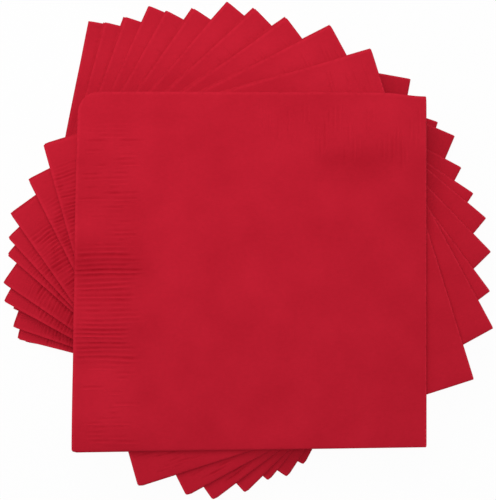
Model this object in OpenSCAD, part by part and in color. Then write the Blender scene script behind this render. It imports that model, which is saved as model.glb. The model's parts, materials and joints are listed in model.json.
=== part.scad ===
// Fanned pile of twelve paper napkins. Each napkin is a two-ply sheet folded in four.
// Millimetres, +Z up. The pile stands on Z = 0, and the origin is under the middle of the fan.
// Napkin 1 is at the bottom. Napkin 12, on top, can be opened at its last fold.

/* [Napkin] */
// Width of a folded napkin, from its open left edge to its folded right edge
napkin_w = 127; // [90:1:200]
// Height of a folded napkin, from its folded lower edge to its open upper edge
napkin_h = 128; // [90:1:200]
// Thickness of one tissue ply
ply_t = 0.12; // [0.08:0.01:0.2]
// Air between two plies that lie on each other
ply_gap = 0.12; // [0.08:0.01:0.2]
// Air between two napkins that lie on each other
pile_gap = 0.2; // [0.1:0.05:0.5]
// Part of the last fold that each half of the top napkin keeps, in degrees
crease_arc = 84; // [60:1:88]

/* [Bottom napkin] */
// Turn of the bottom napkin, anticlockwise from above
bottom_turn = 80; // [0:0.5:90]
// Centre of the bottom napkin
bottom_centre = [-8.5, 12.5]; // [-30:0.5:30]

/* [Fan] */
// Turn of napkin 2 on the one below, clockwise from above
turn_02 = 4; // [0:0.5:30]
// Point that napkin 2 turned about
pivot_02 = [-70, -5]; // [-90:1:90]
// Turn of napkin 3 on the one below
turn_03 = 4.5; // [0:0.5:30]
// Point that napkin 3 turned about
pivot_03 = [-30, -20]; // [-90:1:90]
// Turn of napkin 4 on the one below
turn_04 = 4.5; // [0:0.5:30]
// Point that napkin 4 turned about
pivot_04 = [5, -35]; // [-90:1:90]
// Turn of napkin 5 on the one below
turn_05 = 5; // [0:0.5:30]
// Point that napkin 5 turned about
pivot_05 = [-60, 10]; // [-90:1:90]
// Turn of napkin 6 on the one below
turn_06 = 5.5; // [0:0.5:30]
// Point that napkin 6 turned about
pivot_06 = [-20, -20]; // [-90:1:90]
// Turn of napkin 7 on the one below
turn_07 = 6.5; // [0:0.5:30]
// Point that napkin 7 turned about
pivot_07 = [5, -25]; // [-90:1:90]
// Turn of napkin 8 on the one below
turn_08 = 6; // [0:0.5:30]
// Point that napkin 8 turned about
pivot_08 = [-30, -10]; // [-90:1:90]
// Turn of napkin 9 on the one below
turn_09 = 7.5; // [0:0.5:30]
// Point that napkin 9 turned about
pivot_09 = [-20, -5]; // [-90:1:90]
// Turn of napkin 10 on the one below
turn_10 = 8.5; // [0:0.5:30]
// Point that napkin 10 turned about
pivot_10 = [0, -30]; // [-90:1:90]
// Turn of napkin 11 on the one below
turn_11 = 11; // [0:0.5:30]
// Point that napkin 11 turned about
pivot_11 = [-8, -2]; // [-90:1:90]
// Turn of the top napkin on the one below
turn_12 = 17; // [0:0.5:30]
// Point that the top napkin turned about
pivot_12 = [-3, -5]; // [-90:1:90]

/* [Hidden] */
$fn = 48;
paper_red = [0.74, 0.12, 0.18];
inner_red = [0.66, 0.09, 0.15];

// A folded sheet lies in four leaves of two plies. Layers count up from 0, at the bottom.
// The outer ply takes layers 0, 3, 4 and 7, and the inner ply takes 1, 2, 5 and 6.
// Each pair below is the two layers of the lower half. The upper half is its mirror image.
layers = 8;
outer_layers = [0, 3];
inner_layers = [1, 2];
ply_pitch = ply_t + ply_gap;
napkin_t = layers * ply_t + (layers - 1) * ply_gap;
napkin_pitch = napkin_t + pile_gap;

// The first fold runs along the lower edge and joins the two leaves of a half.
// The second fold runs along the right edge and joins the lower half to the upper half.
half_mid_z = (outer_layers[1] * ply_pitch + ply_t) / 2;
first_fold_y = half_mid_z - napkin_h / 2;
second_fold_z = napkin_t / 2;
second_fold_x = napkin_w / 2 - second_fold_z;

napkin_count = 12;
turns = [
    0, turn_02, turn_03, turn_04, turn_05, turn_06,
    turn_07, turn_08, turn_09, turn_10, turn_11, turn_12
];
pivots = [
    bottom_centre, pivot_02, pivot_03, pivot_04, pivot_05, pivot_06,
    pivot_07, pivot_08, pivot_09, pivot_10, pivot_11, pivot_12
];

function two_digits(n) = str(n < 10 ? "0" : "", n);
function napkin_name(n) = str("napkin_", two_digits(n));
function ply_names(piece) = [str(piece, "_outer_ply"), str(piece, "_inner_ply")];
function swung(v, angle) = [v.x * cos(angle) - v.y * sin(angle), v.x * sin(angle) + v.y * cos(angle)];
function turn_of(n) = n == 1 ? bottom_turn : turn_of(n - 1) - turns[n - 1];
function centre_of(n) =
    n == 1 ? bottom_centre : pivots[n - 1] + swung(centre_of(n - 1) - pivots[n - 1], -turns[n - 1]);

// Section of one ply across a half napkin: two leaves and the round first fold that joins them.
// It is drawn with the napkin's Y across and Z up.
module half_section(pair) {
    low_z = pair[0] * ply_pitch;
    high_z = pair[1] * ply_pitch;
    fold_r = (high_z + ply_t - low_z) / 2;
    leaf = napkin_h / 2 - first_fold_y;
    translate([first_fold_y, low_z]) square([leaf, ply_t]);
    translate([first_fold_y, high_z]) square([leaf, ply_t]);
    translate([first_fold_y, low_z + fold_r]) difference() {
        circle(r = fold_r);
        circle(r = fold_r - ply_t);
        translate([0, -fold_r]) square([fold_r, 2 * fold_r]);
    }
}

// Lower half of a folded ply, with the part of the second fold that it keeps.
module lower_half(pair, arc) {
    translate([-napkin_w / 2, 0, 0])
        rotate([90, 0, 90])
            linear_extrude(height = second_fold_x + napkin_w / 2) half_section(pair);
    translate([second_fold_x, 0, second_fold_z])
        rotate([90, 90, 0])
            rotate_extrude(angle = arc)
                translate([second_fold_z, 0]) mirror([1, 1]) half_section(pair);
}

// Upper half of a folded ply: the lower half turned over.
module upper_half(pair, arc) {
    translate([0, 0, napkin_t]) mirror([0, 0, 1]) lower_half(pair, arc);
}

// A whole ply of a napkin that stays folded.
module folded_ply(pair) {
    lower_half(pair, 90);
    upper_half(pair, 90);
}

// Puts a napkin in its place in the fan.
module in_pile(n) {
    centre = centre_of(n);
    translate([centre.x, centre.y, (n - 1) * napkin_pitch]) rotate([0, 0, turn_of(n)]) children();
}

module outer_ply(n) {
    color(paper_red) in_pile(n) folded_ply(outer_layers);
}

module inner_ply(n) {
    color(inner_red) in_pile(n) folded_ply(inner_layers);
}

module base_outer_ply() {
    color(paper_red) in_pile(napkin_count) lower_half(outer_layers, crease_arc);
}

module base_inner_ply() {
    color(inner_red) in_pile(napkin_count) lower_half(inner_layers, crease_arc);
}

module flap_outer_ply() {
    color(paper_red) in_pile(napkin_count) upper_half(outer_layers, crease_arc);
}

module flap_inner_ply() {
    color(inner_red) in_pile(napkin_count) upper_half(inner_layers, crease_arc);
}

for (n = [1 : napkin_count - 1]) {
    outer_ply(n);
    inner_ply(n);
}
base_outer_ply();  // napkin_12_base_outer_ply
base_inner_ply();  // napkin_12_base_inner_ply
flap_outer_ply();  // napkin_12_flap_outer_ply
flap_inner_ply();  // napkin_12_flap_inner_ply
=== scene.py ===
# A fanned pile of red paper napkins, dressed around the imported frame. Lengths here are in metres.
import bisect
import json
import math

import bpy
import numpy as np
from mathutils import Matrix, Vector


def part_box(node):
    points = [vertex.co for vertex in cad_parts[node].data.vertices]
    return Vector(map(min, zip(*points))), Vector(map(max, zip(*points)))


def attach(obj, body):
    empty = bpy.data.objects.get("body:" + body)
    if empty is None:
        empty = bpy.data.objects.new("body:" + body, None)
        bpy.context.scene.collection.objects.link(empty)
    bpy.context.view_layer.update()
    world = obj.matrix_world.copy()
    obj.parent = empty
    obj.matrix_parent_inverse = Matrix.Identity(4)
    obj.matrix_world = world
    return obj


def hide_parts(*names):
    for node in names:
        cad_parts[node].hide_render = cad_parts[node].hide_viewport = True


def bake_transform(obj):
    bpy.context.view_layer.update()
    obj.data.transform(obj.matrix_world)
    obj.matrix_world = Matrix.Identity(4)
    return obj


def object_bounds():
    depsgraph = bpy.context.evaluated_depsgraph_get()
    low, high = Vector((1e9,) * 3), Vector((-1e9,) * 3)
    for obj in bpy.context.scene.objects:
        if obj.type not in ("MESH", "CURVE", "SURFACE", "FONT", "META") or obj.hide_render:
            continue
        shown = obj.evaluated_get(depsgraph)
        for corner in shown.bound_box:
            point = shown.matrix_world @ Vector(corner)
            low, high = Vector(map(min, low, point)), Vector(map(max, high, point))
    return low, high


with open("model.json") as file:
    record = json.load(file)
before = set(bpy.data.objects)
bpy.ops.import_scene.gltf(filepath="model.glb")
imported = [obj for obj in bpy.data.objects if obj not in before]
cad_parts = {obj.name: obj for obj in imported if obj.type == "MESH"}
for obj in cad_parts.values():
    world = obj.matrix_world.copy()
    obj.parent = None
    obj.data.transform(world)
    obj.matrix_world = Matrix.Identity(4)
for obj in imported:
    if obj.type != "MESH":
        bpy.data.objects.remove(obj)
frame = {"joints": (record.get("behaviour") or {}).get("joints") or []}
cad_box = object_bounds()

# The pile.
# Twelve napkins lie loose on each other, and each is turned on the one below. A joint's lower limit squares
# its napkin up with the one below, so the limits add up to the turns. The top napkin itself lies square.
mm = 0.001
napkin_count = 12
napkin_bodies = [f"napkin_{n:02d}" for n in range(1, napkin_count)] + ["napkin_12_base"]
turn_on_lower = {j["child"]: -j["range_deg"][0] for j in frame["joints"] if j["name"].endswith("_turn")}
unfold = next(j for j in frame["joints"] if j["name"] == "napkin_12_unfold")


def napkin_place(number):
    """Centre, height above the table and turn of a napkin, counted from 0 at the bottom."""
    low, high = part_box(napkin_bodies[number] + "_outer_ply")
    turn = sum(turn_on_lower[body] for body in napkin_bodies[number + 1:])
    return (low.x + high.x) / 2, (low.y + high.y) / 2, low.z, math.radians(turn)


def kind_of(number):
    """The top napkin is folded and handled unlike the ones that fan out below it."""
    return "top" if number == napkin_count - 1 else "fan"


# The folded sheet.
# One ply of a napkin is a tissue sheet of about 254 mm that is folded along its lower edge and then along
# its right edge, so it lies in four leaves. A napkin has eight layers: the outer ply takes 0, 3, 4 and 7.
top_low, top_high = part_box("napkin_12_base_outer_ply")
leaf_w = top_high.x - top_low.x
leaf_h = top_high.y - top_low.y
crease_z = unfold["pos_m"][2] - top_low.z
crease_gap = 0.17 * mm
ply_t = 0.10 * mm
top_layer = 7
mid_layer = top_layer / 2
nearest_layer = 0.5
half_layer = 1.5
first_fold_layers = {"outer": 1.5, "inner": 0.5}
first_fold_depth = 1.0 * mm
last_fold_depth = 0.55 * mm
fold_x = leaf_w / 2 - last_fold_depth - ply_t / 2
fold_y = first_fold_depth + ply_t / 2 - leaf_h / 2
run_a = leaf_w / 2 + fold_x
run_b = leaf_h / 2 - fold_y
arc_a = 1.12 * mm
arc_b = 1.15 * mm
reach_a = run_a + arc_a
reach_b = run_b + arc_b
border = 25 * mm
groove_pitch = 1.72 * mm


def smooth(value, start, end):
    t = np.clip((value - start) / (end - start), 0, 1)
    return t * t * (3 - 2 * t)


def soft_waves(seed, shortest, longest, count=7):
    """A smooth height field of about -1 to 1, made of a few long waves in seeded directions."""
    rng = np.random.default_rng(seed)
    turns = rng.uniform(0, 2 * math.pi, count)
    lengths = rng.uniform(shortest, longest, count)
    phases = rng.uniform(0, 2 * math.pi, count)
    usual_peak = math.sqrt(count * 1.6)

    def height(x, y):
        total = 0
        for turn, length, phase in zip(turns, lengths, phases):
            along = x * math.cos(turn) + y * math.sin(turn)
            total = total + np.sin(along * 2 * math.pi / length + phase)
        return total / usual_peak

    return height


def sheet_grid(groove_steps):
    """Points and faces of the flat sheet. Each leaf named gets borders that are fine enough for grooves.

    groove_steps gives the number of cuts for each groove of a leaf. a runs across the sheet and b along it,
    both from the crossing of the folds. The lower leaves have a < 0; the top leaf has a > 0 and b < 0."""
    leaf_names = {(0, 0): "bottom", (0, 1): "under", (1, 1): "over", (1, 0): "top"}
    strip_count = 5
    fold_at = 2
    leaf_cuts = 28
    fold_cuts = 8
    coarse_cuts = 8
    fine_cuts = 18
    grading = 1.3

    def strips(reach, arc):
        """The strips across a sheet: border, leaf, fold, leaf, border. Borders come coarse and fine."""
        inner = reach - border
        leaf_strip = arc + (inner - arc) * np.linspace(0, 1, leaf_cuts + 1) ** grading
        fold_strip = np.linspace(-arc, arc, fold_cuts + 1)
        coarse_border = reach - border * np.linspace(1, 0, coarse_cuts + 1) ** grading
        fine_border = reach - border * np.linspace(1, 0, fine_cuts + 1) ** grading
        coarse = [-coarse_border[::-1], -leaf_strip[::-1], fold_strip, leaf_strip, coarse_border]
        return coarse, {0: -fine_border[::-1], strip_count - 1: fine_border}

    def grooved(strip, steps):
        length = strip[-1] - strip[0]
        return np.linspace(strip[0], strip[-1], 1 + round(length / groove_pitch * steps))

    coarse_a, fine_a = strips(reach_a, arc_a)
    coarse_b, fine_b = strips(reach_b, arc_b)

    def block_cuts(i, j):
        cut_a, cut_b = coarse_a[i], coarse_b[j]
        leaf = leaf_names[(int(i > fold_at), int(j > fold_at))]
        steps = 0 if fold_at in (i, j) else groove_steps.get(leaf, 0)
        if steps and i in fine_a:
            cut_a, cut_b = fine_a[i], grooved(cut_b, steps)
        elif steps and j in fine_b:
            cut_a, cut_b = grooved(cut_a, steps), fine_b[j]
        return cut_a.round(9), cut_b.round(9)

    blocks = [block_cuts(i, j) for i in range(strip_count) for j in range(strip_count)]
    index = {}
    on_line_a = {}
    on_line_b = {}
    for cut_a, cut_b in blocks:
        for a in cut_a:
            for b in cut_b:
                index.setdefault((a, b), len(index))
        for a in (cut_a[0], cut_a[-1]):
            on_line_a.setdefault(a, set()).update(cut_b)
        for b in (cut_b[0], cut_b[-1]):
            on_line_b.setdefault(b, set()).update(cut_a)
    on_line_a = {a: sorted(places) for a, places in on_line_a.items()}
    on_line_b = {b: sorted(places) for b, places in on_line_b.items()}

    def stops(line, start, end):
        """Points of a finer neighbour on a block's edge, so that faces meet without gaps."""
        return line[bisect.bisect_right(line, start):bisect.bisect_left(line, end)] if line else []

    faces = []
    for cut_a, cut_b in blocks:
        for a0, a1 in zip(cut_a, cut_a[1:]):
            for b0, b1 in zip(cut_b, cut_b[1:]):
                ring = [(a0, b0)] + [(a, b0) for a in stops(on_line_b.get(b0), a0, a1)]
                ring += [(a1, b0)] + [(a1, b) for b in stops(on_line_a.get(a1), b0, b1)]
                ring += [(a1, b1)] + [(a, b1) for a in reversed(stops(on_line_b.get(b1), a0, a1))]
                ring += [(a0, b1)] + [(a0, b) for b in reversed(stops(on_line_a.get(a0), b0, b1))]
                faces.append([index[p] for p in ring])
    points = np.array(list(index))
    return points[:, 0], points[:, 1], faces


# Radii of a napkin's corners: the sheet's own cut corners, the end of the first fold, and the others.
cut_corner_r = {"fan": 0.3 * mm, "top": 7.5 * mm}
fold_end_r = 1.2 * mm
square_corner_r = 0.4 * mm


def round_corners(x, y, half_x, half_y, radius):
    """Rounds the four corners of a rectangle about the origin by pulling its points inwards."""
    in_x = np.clip((np.abs(x) - half_x + radius) / radius, 0, 1)
    in_y = np.clip((np.abs(y) - half_y + radius) / radius, 0, 1)
    pull_x = in_x * (1 - np.sqrt(1 - in_y ** 2 / 2)) * radius
    pull_y = in_y * (1 - np.sqrt(1 - in_x ** 2 / 2)) * radius
    return x - np.sign(x) * pull_x, y - np.sign(y) * pull_y


def fold_in_four(a, b, ply):
    """Folds the flat sheet twice. Gives x, y and the layer, which counts up from 0 at the bottom."""
    first_r = first_fold_layers[ply]
    bend_b = np.clip(b / arc_b, -1, 1) * math.pi / 2
    bend_a = np.clip(a / arc_a, -1, 1) * math.pi / 2
    lower_layer = half_layer + first_r * np.sin(bend_b)
    layer = mid_layer + (mid_layer - lower_layer) * np.sin(bend_a)
    depth_a = last_fold_depth * (mid_layer - lower_layer) / mid_layer
    depth_b = first_fold_depth * first_r / half_layer
    x = fold_x + depth_a * np.cos(bend_a) - np.maximum(np.abs(a) - arc_a, 0)
    y = fold_y - depth_b * np.cos(bend_b) + np.maximum(np.abs(b) - arc_b, 0)
    return x, y, layer


# How far the corners lie from square, in mm: upper right, lower right, upper left and lower left.
# The napkins between the bottom one and napkin 11 change evenly, and the top one is folded by itself.
bottom_corners = np.array(((-0.45, -0.75), (-1.15, -0.25), (-0.3, 0.75), (-0.25, 1.65)))
upper_corners = np.array(((-0.1, -0.25), (-0.4, 0.4), (1.35, 0.9), (-1.4, -0.95)))
top_corners = np.array(((0.1, 0.5), (-0.8, -0.2), (-0.45, 1.15), (-1.8, -2.0)))
# How unevenly the leaves end: the slip and steps between them, waves in the cut, and the leaf cut short.
lower_slip = (-0.1 * mm, -0.2 * mm)
end_step = (-0.2 * mm, 0.12 * mm)
step_settles = 30 * mm
cut_wave = 0.15 * mm
cut_wave_length = (40 * mm, 110 * mm)
leaf_apart = 20 * mm
short_leaf = {"fan": (0.3 * mm, 0.8 * mm), "top": (0.0, 0.1 * mm)}
fold_tuck = {"fan": 0.0, "top": 1.3 * mm}
tuck_length = 16 * mm


def set_askew(x, y, a, b, number):
    """Shifts the folded leaves as a folding machine does: out of square, with leaves that end unevenly."""
    kind = kind_of(number)
    left = 0.5 - x / leaf_w
    low = 0.5 - y / leaf_h
    corner_shares = ((1 - left) * (1 - low), (1 - left) * low, left * (1 - low), left * low)
    shifts = bottom_corners + (upper_corners - bottom_corners) * number / (napkin_count - 2)
    if kind == "top":
        shifts = top_corners
    slip_x, slip_y = lower_slip
    under = np.where(a < 0, left * low, 0)
    skew_x = sum(share * dx for share, (dx, dy) in zip(corner_shares, shifts)) * mm + under * slip_x
    skew_y = sum(share * dy for share, (dx, dy) in zip(corner_shares, shifts)) * mm + under * slip_y

    rng = np.random.default_rng(50 + number)
    half_step_x, leaf_step_x, half_step_y, leaf_step_y = rng.uniform(*end_step, 4)
    short_by = rng.uniform(*short_leaf[kind])
    flat_a = np.maximum(np.abs(a) - arc_a, 0)
    flat_b = np.maximum(np.abs(b) - arc_b, 0)
    wave_x = soft_waves(200 + number, *cut_wave_length, count=4)(y, leaf_apart * np.sign(a))
    wave_y = soft_waves(300 + number, *cut_wave_length, count=4)(x, leaf_apart * np.sign(b))
    end_x = cut_wave * wave_x + half_step_x * np.sign(a)
    end_x = end_x - leaf_step_x * np.sign(b) * np.clip(flat_b / step_settles, 0, 1)
    end_y = cut_wave * wave_y - leaf_step_y * np.sign(b)
    end_y = end_y - half_step_y * np.sign(a) * np.clip(flat_a / step_settles, 0, 1)
    end_y = end_y - np.where(b < 0, short_by, 0)
    end_y = end_y - fold_tuck[kind] * (1 - smooth(flat_a, 0, tuck_length))
    return x + skew_x + flat_a / run_a * end_x, y + skew_y + flat_b / run_b * end_y


# Thickness of a napkin's halves with the waves in them, and the share that is pressed out near an edge.
lower_half_t = 0.79 * mm
lower_half_wave = 0.02 * mm
upper_half_t = {"fan": 0.87 * mm, "top": 1.1 * mm}
upper_half_wave = {"fan": 0.03 * mm, "top": 0.16 * mm}
upper_wave_length = {"fan": (25 * mm, 70 * mm), "top": (25 * mm, 60 * mm)}
lower_wave_length = (40 * mm, 110 * mm)
cut_press = 0.18
cut_press_length = 4 * mm
last_fold_press = 0.2
last_fold_press_length = 9 * mm
first_fold_press = 0.52
first_fold_press_length = 5 * mm
border_press = 0.45
border_press_fade = 6 * mm
inside_press = {"fan": 1.0, "top": 0.5}
# Dents that handling left in the top napkin: place, half length across and along, and rise, in mm.
top_dents = (
    (-58, 9, 34, 8, 0.45),
    (-58, -6, 28, 7, -0.35),
    (-58, -18, 26, 6, 0.30),
    (-58, -30, 26, 8, -0.35),
    (-50, -52, 28, 14, 0.60),
    (46, 48, 30, 14, 0.90),
    (40, 35, 24, 8, -0.70),
    (10, -4, 42, 24, 0.30),
    (-62, 62, 16, 16, -0.60),
    (62, -62, 22, 22, -0.50),
    (20, -44, 40, 14, -0.25),
)
dents = {"fan": (), "top": top_dents}
dent_steepness = 1.5


def loft(x, y, layer, a, b, ply, number):
    """Height of every point above its slot: soft waves, and edges of the upper half that are pressed thin.

    In the border the rollers press the inner ply down, away from the grooves of the outer one. No layer
    comes nearer to the crease between the halves than the crease gap."""
    kind = kind_of(number)
    from_cut = np.minimum(reach_a - np.abs(a), reach_b - np.abs(b))
    from_first_fold = np.clip(np.abs(b) / first_fold_press_length, 0, 1)
    pressed = cut_press * (1 - smooth(from_cut, 0, cut_press_length))
    pressed = pressed + last_fold_press * (1 - smooth(np.abs(a), 0, last_fold_press_length))
    pressed = pressed + first_fold_press * (1 - np.sqrt(from_first_fold * (2 - from_first_fold)))
    if ply == "inner":
        on_top = smooth(-b, -border_press_fade, border_press_fade)
        firmness = inside_press[kind] + (1 - inside_press[kind]) * on_top
        in_border = 1 - smooth(from_cut, border, border + border_press_fade)
        pressed = pressed + border_press * in_border * firmness

    upper_seed = {"fan": 400 + number, "top": 600}
    upper_waves = soft_waves(upper_seed[kind], *upper_wave_length[kind])
    upper = upper_half_t[kind] + upper_half_wave[kind] * upper_waves(x, y)
    for place_x, place_y, half_x, half_y, rise in dents[kind]:
        off_centre = ((x / mm - place_x) / half_x) ** 2 + ((y / mm - place_y) / half_y) ** 2
        upper = upper + rise * mm * np.exp(-off_centre ** dent_steepness)
    lower_waves = soft_waves(500 + number, *lower_wave_length)
    lower = lower_half_t + lower_half_wave * lower_waves(x, y)

    reach = np.maximum(np.where(layer > mid_layer, upper * (1 - pressed), lower), crease_gap)
    from_crease = np.abs(layer - mid_layer)
    beside = np.clip(from_crease / nearest_layer, 0, 1)
    beyond = np.clip((from_crease - nearest_layer) / (mid_layer - nearest_layer), 0, 1)
    return crease_z + np.sign(layer - mid_layer) * (beside * crease_gap + beyond * (reach - crease_gap))


def droop(x, y, number):
    """How far a napkin sinks where the ones below it don't reach. The top one is laid on flat."""
    sunk_for_each = 0.04 * mm
    held_inside = 4 * mm
    free_outside = 24 * mm
    missing = 0
    if kind_of(number) == "fan":
        for lower in range(number):
            centre_x, centre_y, floor_z, turn = napkin_place(lower)
            across = (x - centre_x) * math.cos(turn) + (y - centre_y) * math.sin(turn)
            along = (y - centre_y) * math.cos(turn) - (x - centre_x) * math.sin(turn)
            inside = np.minimum(leaf_w / 2 - np.abs(across), leaf_h / 2 - np.abs(along))
            missing = missing + 1 - smooth(inside, -free_outside, held_inside)
    return sunk_for_each * missing


def fold(a, b, ply, number):
    """Places the sheet's points in a napkin of the pile."""
    round_a, round_b = round_corners(a, b, reach_a, reach_b, cut_corner_r[kind_of(number)])
    x, y, layer = fold_in_four(round_a, round_b, ply)
    blunt_r = np.where((x < 0) & (y < 0), fold_end_r, square_corner_r)
    x, y = round_corners(x, y, leaf_w / 2, leaf_h / 2, blunt_r)
    x, y = set_askew(x, y, a, b, number)
    z = loft(x, y, layer, a, b, ply, number)
    centre_x, centre_y, floor_z, turn = napkin_place(number)
    turned_x = centre_x + x * math.cos(turn) - y * math.sin(turn)
    turned_y = centre_y + x * math.sin(turn) + y * math.cos(turn)
    return np.stack([turned_x, turned_y, floor_z + z - droop(turned_x, turned_y, number)], axis=1)


def add_object(name, data):
    made = bpy.data.objects.new(name, data)
    bpy.context.scene.collection.objects.link(made)
    return made


def sheet_object(name, ply, number, grid, inside_groove=0.0):
    """A folded ply as one open surface, with its flat coordinates kept as a UV map and as attributes.

    The top leaf takes whole grooves and ridges. The two leaves inside take a share of the grooves alone,
    which keeps them clear of each other, and the leaf underneath stays plain."""
    a, b, faces = grid
    mesh = bpy.data.meshes.new(name)
    mesh.from_pydata(fold(a, b, ply, number).tolist(), [], faces)
    corner_points = np.empty(len(mesh.loops), int)
    mesh.loops.foreach_get("vertex_index", corner_points)
    flat = mesh.uv_layers.new(name="flat_sheet")
    flat.data.foreach_set("uv", np.stack([a[corner_points], b[corner_points]], axis=1).ravel())
    plain_by_fold = 3 * mm
    off_folds = smooth(np.abs(a), arc_a, plain_by_fold) * smooth(np.abs(b), arc_b, plain_by_fold)
    top_leaf = np.where((a > 0) & (b < 0), 1, 0)
    inside_leaves = np.where(b > 0, inside_groove, 0)
    attributes = {
        "from_left": reach_a - np.abs(a),
        "from_top": reach_b - np.abs(b),
        "groove_share": (top_leaf + inside_leaves) * off_folds,
        "ridge_share": top_leaf * off_folds,
    }
    for label, values in attributes.items():
        mesh.attributes.new(label, "FLOAT", "POINT").data.foreach_set("value", values)
    return add_object(name, mesh)


def finished_mesh(piece):
    """Turns a piece's modifiers into a plain mesh with smooth faces and crisp cut edges."""
    crisp_angle = math.radians(50)
    solid = piece.modifiers.new("ply thickness", "SOLIDIFY")
    solid.thickness = ply_t
    solid.offset = 0
    graph = bpy.context.evaluated_depsgraph_get()
    shaped = piece.evaluated_get(graph)
    mesh = bpy.data.meshes.new_from_object(shaped, preserve_all_data_layers=True, depsgraph=graph)
    piece.modifiers.clear()
    piece.data = mesh
    mesh.name = piece.name
    mesh.shade_smooth()
    mesh.set_sharp_from_angle(angle=crisp_angle)
    return piece


# The tissue.
# Both plies are soft dyed crepe tissue, matt, with cloudy fibre and fine crepe wrinkles across the sheet.
# Folds and cut edges are painted paler: some worn fibre, and a painted highlight along their rims.
# The paper is painted darker where the rollers pressed it: denser fibre, and painted shade in the grooves
# with a painted highlight on the ridges.
class Wire:
    """An output socket that Python's operators work on, in a material or in a geometry tree."""

    def __init__(self, tree, socket=None):
        self.tree = tree
        self.socket = socket

    def node(self, kind, settings=None, sockets=None, out=0):
        made = self.tree.nodes.new(kind)
        for name, value in (settings or {}).items():
            setattr(made, name, value)
        for name, value in (sockets or {}).items():
            if isinstance(value, Wire):
                self.tree.links.new(value.socket, made.inputs[name])
            else:
                made.inputs[name].default_value = value
        return Wire(self.tree, made.outputs[out] if made.outputs else None)

    def output(self, name):
        """Another output of the same node."""
        return Wire(self.tree, self.socket.node.outputs[name])

    def math(self, operation, *values):
        return self.node("ShaderNodeMath", {"operation": operation}, dict(enumerate(values)))

    def __add__(self, other):
        return self.math("ADD", self, other)

    def __radd__(self, other):
        return self.math("ADD", other, self)

    def __sub__(self, other):
        return self.math("SUBTRACT", self, other)

    def __rsub__(self, other):
        return self.math("SUBTRACT", other, self)

    def __mul__(self, other):
        return self.math("MULTIPLY", self, other)

    def __rmul__(self, other):
        return self.math("MULTIPLY", other, self)

    def __truediv__(self, other):
        return self.math("DIVIDE", self, other)

    def ramp(self, start, end, low=0.0, high=1.0):
        """Goes smoothly from low to high while this value goes from start to end."""
        places = {"Value": self, "From Min": start, "From Max": end, "To Min": low, "To Max": high}
        return self.node("ShaderNodeMapRange", {"interpolation_type": "SMOOTHSTEP"}, places)


def cleared_tree(owner):
    """The empty node tree of a material or world."""
    owner.use_nodes = True
    owner.node_tree.nodes.clear()
    return Wire(owner.node_tree)


def tissue(name, colour, dark_colour):
    cloud_tone, fibre_tone, crepe_tone = 1.3, 0.7, 0.4
    fold_wear_and_highlight, cut_wear_and_highlight, press_shade_and_light_tone = 1.6, 0.6, 1.4
    wrinkle_height = 0.08 * mm
    crepe_height, fibre_height = 0.6, 0.4
    material = bpy.data.materials.new(name)
    wire = cleared_tree(material)
    flat = wire.node("ShaderNodeUVMap", {"uv_map": "flat_sheet"})
    split = wire.node("ShaderNodeSeparateXYZ", None, {"Vector": flat})
    across = wire.math("ABSOLUTE", split)
    along = wire.math("ABSOLUTE", split.output("Y"))
    crepe_way = wire.node("ShaderNodeMapping", None, {"Vector": flat, "Scale": (420.0, 2300.0, 1.0)})
    crepe = wire.node("ShaderNodeTexNoise", None, {"Vector": crepe_way, "Scale": 1.0, "Detail": 3.0})
    fibre = wire.node("ShaderNodeTexNoise", None, {"Vector": flat, "Scale": 700.0, "Detail": 4.0})
    cloud = wire.node("ShaderNodeTexNoise", None, {"Vector": flat, "Scale": 60.0, "Detail": 3.0})
    near_cut = wire.math("MINIMUM", reach_a - across, reach_b - along)
    # Painted highlight, with some wear, along the last fold and along the cut edges.
    worn_fold_and_highlight = 1 - across.ramp(0.7 * mm, 1.5 * mm)
    worn_cut_and_highlight = 1 - near_cut.ramp(0.4 * mm, 1.4 * mm)
    tone = (cloud - 0.5) * cloud_tone + (fibre - 0.5) * fibre_tone + (crepe - 0.5) * crepe_tone + 0.5
    tone = tone + (worn_fold_and_highlight * fold_wear_and_highlight + worn_cut_and_highlight * cut_wear_and_highlight) * fibre.ramp(0.3, 0.6, 0.3, 1.0)
    # Painted shade and painted light from the border: darker grooves and pressed paper, paler ridges, and
    # painted shading bands and a paler corner.
    tone = tone - wire.node("ShaderNodeAttribute", {"attribute_name": "press_shade_and_light"}, out="Fac") * press_shade_and_light_tone
    base = wire.node("ShaderNodeMix", {"data_type": "RGBA", "clamp_factor": False},
                     {0: tone, 6: (*dark_colour, 1), 7: (*colour, 1)}, out=2)
    relief = crepe * crepe_height + fibre * fibre_height
    wrinkles = {"Strength": 0.5, "Distance": wrinkle_height, "Height": relief}
    bump = wire.node("ShaderNodeBump", None, wrinkles)
    roughness = fibre.ramp(0.3, 0.7, 0.88, 0.98)
    finish = {"Base Color": base, "Roughness": roughness, "Normal": bump, "Specular IOR Level": 0.06}
    surface = wire.node("ShaderNodeBsdfPrincipled", None, finish)
    wire.node("ShaderNodeOutputMaterial", None, {"Surface": surface})
    return material


outer_tissue = tissue("outer tissue", (0.53, 0.0125, 0.030), (0.44, 0.0085, 0.022))
inner_tissue = tissue("inner tissue", (0.50, 0.0115, 0.027), (0.42, 0.0080, 0.020))

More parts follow.
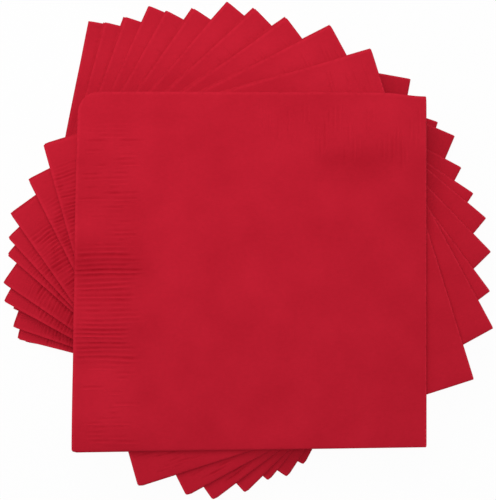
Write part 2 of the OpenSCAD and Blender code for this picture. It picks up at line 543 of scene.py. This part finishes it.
# The embossed border.
# Rollers press rows of short ridges into the border, square to the open edges, which also grips the plies
# together. The ridges along the left edge are deep and a little wavy; those along the upper edge are faint.
emboss_sizes = ("Groove pitch", "Groove depth", "Waviness", "Least press", "Crushed tone and shade", "Sunk border",
                "Painted shading", "Firm from", "Firm to", "Slack from", "Slack to")
emboss_sockets = {"Sheet": "NodeSocketGeometry", "Seed": "NodeSocketInt", "Finish": "NodeSocketMaterial"}
emboss_sockets.update({label: "NodeSocketFloat" for label in emboss_sizes})
emboss = bpy.data.node_groups.new("emboss border", "GeometryNodeTree")
emboss.interface.new_socket("Sheet", in_out="OUTPUT", socket_type="NodeSocketGeometry")
emboss_inputs = {}
for label, kind in emboss_sockets.items():
    socket = emboss.interface.new_socket(label, in_out="INPUT", socket_type=kind)
    emboss_inputs[label] = socket.identifier
inlet = emboss.nodes.new("NodeGroupInput")
outlet = emboss.nodes.new("NodeGroupOutput")
rollers = Wire(emboss)
given = {label: Wire(emboss, inlet.outputs[label]) for label in emboss_inputs}
from_left, from_top, groove_share, ridge_share = (
    rollers.node("GeometryNodeInputNamedAttribute", {"data_type": "FLOAT"}, {"Name": name})
    for name in ("from_left", "from_top", "groove_share", "ridge_share")
)
noise_step = 0.37
draws_for_each = 64
seed_depth = given["Seed"] * noise_step
first_seed = given["Seed"] * draws_for_each


def between(value, start, end, soft):
    """1 from start to end, with soft ends."""
    return value.ramp(start - soft, start + soft) * (1 - value.ramp(end - soft, end + soft))


class GrooveRow:
    """A row of grooves counted along a border. Each groove draws its own place, lean, depth and length."""

    def __init__(self, along, across, first_draw):
        self.across = across
        self.draws = first_draw
        border_middle = 12 * mm
        most_wander = 4.5 * mm
        steepest_lean = 8
        groove_middle, groove_half = 0.33, 0.24
        ridge_middle, ridge_half = 0.78, 0.20
        way = {"X": along, "Y": across * given["Waviness"], "Z": seed_depth}
        spot = rollers.node("ShaderNodeCombineXYZ", None, way)
        noise = rollers.node("ShaderNodeTexNoise", None, {"Vector": spot, "Scale": 50.0, "Detail": 2.0})
        turns = (along + (noise - 0.5) * most_wander) / given["Groove pitch"]
        self.count = rollers.math("FLOOR", turns)
        self.place = turns - self.count
        lean = (across - border_middle) * self.draw(-steepest_lean, steepest_lean)
        groove = self.bump(groove_middle + self.draw(-0.08, 0.08) + lean, groove_half) * self.draw(0.2, 1.0)
        ridge = self.bump(ridge_middle + self.draw(-0.03, 0.03) + lean, ridge_half) * self.draw(0.2, 1.2)
        self.hollow = groove * groove_share - ridge * ridge_share

    def bump(self, middle, half):
        """A round bump across a groove's share of the row, from 0 to 1."""
        off_middle = (self.place - middle) / half
        return rollers.math("MAXIMUM", 1 - off_middle * off_middle, 0.0)

    def draw(self, low, high):
        """A number that is the same all along a groove."""
        self.draws += 1
        sockets = {2: low, 3: high, "ID": self.count, "Seed": first_seed + self.draws}
        return rollers.node("FunctionNodeRandomValue", {"data_type": "FLOAT"}, sockets, out=1)

    def long(self):
        """Grooves that cross the whole border."""
        start = self.draw(0.2 * mm, 1.8 * mm)
        end = self.draw(18 * mm, 23.5 * mm)
        return between(self.across, start, end, soft=1.2 * mm)

    def short(self, nearest, farthest, missing):
        """Grooves of which only a short stretch took, or nothing."""
        middle = self.draw(nearest, farthest)
        half = self.draw(1 * mm, 5 * mm)
        taken = (self.draw(0, 1) - missing).ramp(0.0, 0.02)
        return between(self.across, middle - half, middle + half, soft=1 * mm) * taken


# Where the rollers pressed: whole grooves on the firm stretch, and short light strokes elsewhere.
slack_loss = 0.65
light_share = 0.5
upper_share = 0.25
left_row = GrooveRow(from_top, from_left, first_draw=0)
upper_row = GrooveRow(from_left, from_top, first_draw=32)
slack = between(from_top, given["Slack from"], given["Slack to"], soft=3 * mm)
firm = between(from_top, given["Firm from"], given["Firm to"], soft=4 * mm) * (1 - slack * slack_loss)
off_corner = from_top.ramp(8 * mm, 14 * mm)
light_strokes = left_row.short(nearest=5 * mm, farthest=13 * mm, missing=0.4)
light_strokes = light_strokes + left_row.short(nearest=14 * mm, farthest=20 * mm, missing=0.15)
place = rollers.node("ShaderNodeCombineXYZ", None, {"X": from_left, "Y": from_top, "Z": seed_depth})
patchy = rollers.node("ShaderNodeTexNoise", None, {"Vector": place, "Scale": 260.0, "Detail": 2.0})
left_press = left_row.long() * firm + light_strokes * (1 - firm) * off_corner * light_share
left_press = left_press * patchy.ramp(0.38, 0.58, given["Least press"], 1.0)
upper_press = upper_row.short(nearest=7 * mm, farthest=23 * mm, missing=0.1)
upper_press = upper_press * from_left.ramp(60 * mm, 85 * mm) * upper_share
# Painted shade and painted light in the tone alone: darker bands by the left edge and below the upper right
# corner, and a paler patch at the lower left.
painted_shade_tone = 0.28
painted_light_tone = 0.35
painted_corner_light_tone = 0.25
groove_shade_and_highlight_tone = 0.75
# Painted light: a paler upper right corner on every napkin.
painted_corner_light = between(from_top, 0.0, 18 * mm, soft=5 * mm) * from_left.ramp(85 * mm, 115 * mm)
painted_dark_band = between(from_top, 53 * mm, 68 * mm, soft=4 * mm) * (1 - from_left.ramp(18 * mm, 34 * mm))
painted_dark_valley = between(from_top, 22 * mm, 30 * mm, soft=3 * mm)
painted_dark_valley = painted_dark_valley * between(from_left, 86 * mm, 116 * mm, soft=4 * mm)
painted_light_patch = between(from_top, 98 * mm, 118 * mm, soft=6 * mm) * (1 - from_left.ramp(10 * mm, 28 * mm))
painted_shading = (painted_dark_band * painted_shade_tone + painted_dark_valley * painted_shade_tone - painted_light_patch * painted_light_tone) * given["Painted shading"]
crushed_shade_and_corner_light = (left_press + upper_press) * given["Crushed tone and shade"] - painted_corner_light * painted_corner_light_tone
groove = left_row.hollow * left_press + upper_row.hollow * upper_press
sunk = groove + (left_press + upper_press) * ridge_share * given["Sunk border"]
# The stored tone: painted shade in grooves and pressed paper, painted highlight on ridges and the upper
# right corner, and painted shading bands.
press_shade_and_light_tone = crushed_shade_and_corner_light + groove * groove_shade_and_highlight_tone + painted_shading
normal = rollers.node("GeometryNodeInputNormal")
offset = rollers.node("ShaderNodeVectorMath", {"operation": "SCALE"},
                      {0: normal, "Scale": sunk * given["Groove depth"] * -1})
pressed = rollers.node("GeometryNodeSetPosition", None, {"Geometry": given["Sheet"], "Offset": offset})
marked = rollers.node("GeometryNodeStoreNamedAttribute", {"data_type": "FLOAT", "domain": "POINT"},
                      {"Geometry": pressed, "Name": "press_shade_and_light", "Value": press_shade_and_light_tone})
real = rollers.node("GeometryNodeRealizeInstances", None, {"Geometry": marked})
dyed = rollers.node("GeometryNodeSetMaterial", None, {"Geometry": real, "Material": given["Finish"]})
emboss.links.new(dyed.socket, outlet.inputs["Sheet"])


def press_border(piece, seed, settings):
    """Runs an outer ply through the rollers."""
    modifier = piece.modifiers.new("embossed border", "NODES")
    modifier.node_group = emboss
    for label, value in {**settings, "Seed": seed, "Finish": outer_tissue}.items():
        modifier[emboss_inputs[label]] = value
    return finished_mesh(piece)


# Napkins 1 to 11.
# Each is a two-ply napkin folded in four. Its outer ply shows on both faces and has the embossed border,
# and its inner ply lies inside every leaf. They lie loose on each other and only turn.
fan_rollers = {
    "Groove pitch": 1.45 * mm,
    "Groove depth": 0.25 * mm,
    "Waviness": 1.2,
    "Least press": 0.3,
    "Crushed tone and shade": 0.35,
    "Sunk border": 0.5,
    "Painted shading": 0.0,
    "Firm from": 10 * mm,
    "Firm to": 116 * mm,
    "Slack from": 0.0,
    "Slack to": 0.0,
}
plain_grid = sheet_grid({})
top_leaf_grid = sheet_grid({"top": 8})
for number in range(napkin_count - 1):
    body = napkin_bodies[number]
    below = napkin_bodies[number - 1] + "_outer_ply" if number else None
    outer = sheet_object(body + "_outer_tissue", "outer", number, top_leaf_grid)
    press_border(outer, number + 1, fan_rollers)
    inner = sheet_object(body + "_inner_tissue", "inner", number, plain_grid)
    finished_mesh(inner).data.materials.append(inner_tissue)
    for piece, node, slot, rest in ((outer, body + "_outer_ply", "outer_tissue", below),
                                    (inner, body + "_inner_ply", "inner_tissue", body + "_outer_ply")):
        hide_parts(node)
        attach(piece, body)

# The top napkin.
# It is folded like the others, with the last fold on the right, and each ply is one unbroken sheet.
top_rollers = {
    "Groove pitch": groove_pitch,
    "Groove depth": 0.29 * mm,
    "Waviness": 0.35,
    "Least press": 0.6,
    "Crushed tone and shade": 0.15,
    "Sunk border": 0.0,
    "Painted shading": 1.0,
    "Firm from": 57 * mm,
    "Firm to": 95 * mm,
    "Slack from": 74 * mm,
    "Slack to": 84 * mm,
}
crease = unfold["pos_m"]
crease_reach = 0.1 * mm
opened_grid = sheet_grid({"top": 8, "over": 5, "under": 5})
for ply, grid in (("outer", opened_grid), ("inner", plain_grid)):
    piece = sheet_object(f"napkin_12_{ply}_tissue", ply, napkin_count - 1, grid, inside_groove=0.35)
    if ply == "outer":
        press_border(piece, napkin_count, top_rollers)
    else:
        finished_mesh(piece).data.materials.append(inner_tissue)
    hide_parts(f"napkin_12_base_{ply}_ply", f"napkin_12_flap_{ply}_ply")
    crease[2] - crease_reach
    crease[2] + crease_reach
    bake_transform(piece)

# The studio.
# The pile lies on a plain white floor under a pale sky, with one soft lamp straight above it and another
# near its upper left corner. The camera looks almost straight down, from nearer the picture's lower edge.
floor_half = 1.5
floor_gap = 0.1 * mm
floor_corners = [(-floor_half, -floor_half, 0), (floor_half, -floor_half, 0),
                 (floor_half, floor_half, 0), (-floor_half, floor_half, 0)]
floor_mesh = bpy.data.meshes.new("floor")
floor_mesh.from_pydata(floor_corners, [], [(0, 1, 2, 3)])
floor = add_object("floor", floor_mesh)
floor.location.z = cad_box[0][2] - floor_gap


def shows_background(wire):
    """1 for a ray from the camera, or for one that is reflected or goes through glass."""
    ray = wire.node("ShaderNodeLightPath")
    seen = ray
    for name in ("Is Glossy Ray", "Is Transmission Ray"):
        seen = wire.math("MAXIMUM", seen, ray.output(name))
    return seen


white = (1, 1, 1, 1)
shadow_kept = 0.04
paper_white = bpy.data.materials.new("white floor")
wire = cleared_tree(paper_white)
matt = wire.node("ShaderNodeBsdfDiffuse", None, {"Color": (0.85, 0.85, 0.85, 1)})
glow = wire.node("ShaderNodeEmission", None, {"Color": white, "Strength": 1.0})
background = shows_background(wire) * (1 - shadow_kept)
mixed = wire.node("ShaderNodeMixShader", None, {0: background, 1: matt, 2: glow})
wire.node("ShaderNodeOutputMaterial", None, {"Surface": mixed})
floor_mesh.materials.append(paper_white)

world = bpy.data.worlds.new("soft daylight")
bpy.context.scene.world = world
wire = cleared_tree(world)
sky = wire.node("ShaderNodeBackground", None, {"Color": white, "Strength": 0.30})
backdrop = wire.node("ShaderNodeBackground", None, {"Color": white, "Strength": 1.0})
either = wire.node("ShaderNodeMixShader", None, {0: shows_background(wire), 1: sky, 2: backdrop})
wire.node("ShaderNodeOutputWorld", None, {"Surface": either})


def soft_light(name, place, size, power):
    """A round soft light that faces the middle of the pile."""
    lamp = bpy.data.lights.new(name, "AREA")
    lamp.shape = "DISK"
    lamp.size = size
    lamp.energy = power
    holder = add_object(name, lamp)
    holder.location = place
    holder.rotation_euler = holder.location.to_track_quat("Z", "Y").to_euler()
    holder.visible_camera = False


soft_light("overhead lamp", place=(0.0, 0.0, 0.6), size=0.2, power=1.2)
soft_light("near lamp", place=(-0.055, 0.115, 0.27), size=0.24, power=0.36)

camera_tilt = math.radians(2.46)
camera_distance = 366 * mm
aim_x, aim_y, aim_z = 2.35 * mm, -4.78 * mm, 24 * mm
picture_w = 496
top_napkin_px = 350
focal_px = camera_distance * top_napkin_px / leaf_w
lens = bpy.data.cameras.new("camera")
lens.sensor_fit = "HORIZONTAL"
lens.lens = lens.sensor_width * focal_px / picture_w
lens.clip_start = 10 * mm
camera = add_object("camera", lens)
camera.rotation_euler = (camera_tilt, 0, 0)
camera.location = (aim_x, aim_y - camera_distance * math.sin(camera_tilt),
                   aim_z + camera_distance * math.cos(camera_tilt))
bpy.context.scene.camera = camera
bpy.context.scene.view_settings.view_transform = "Standard"
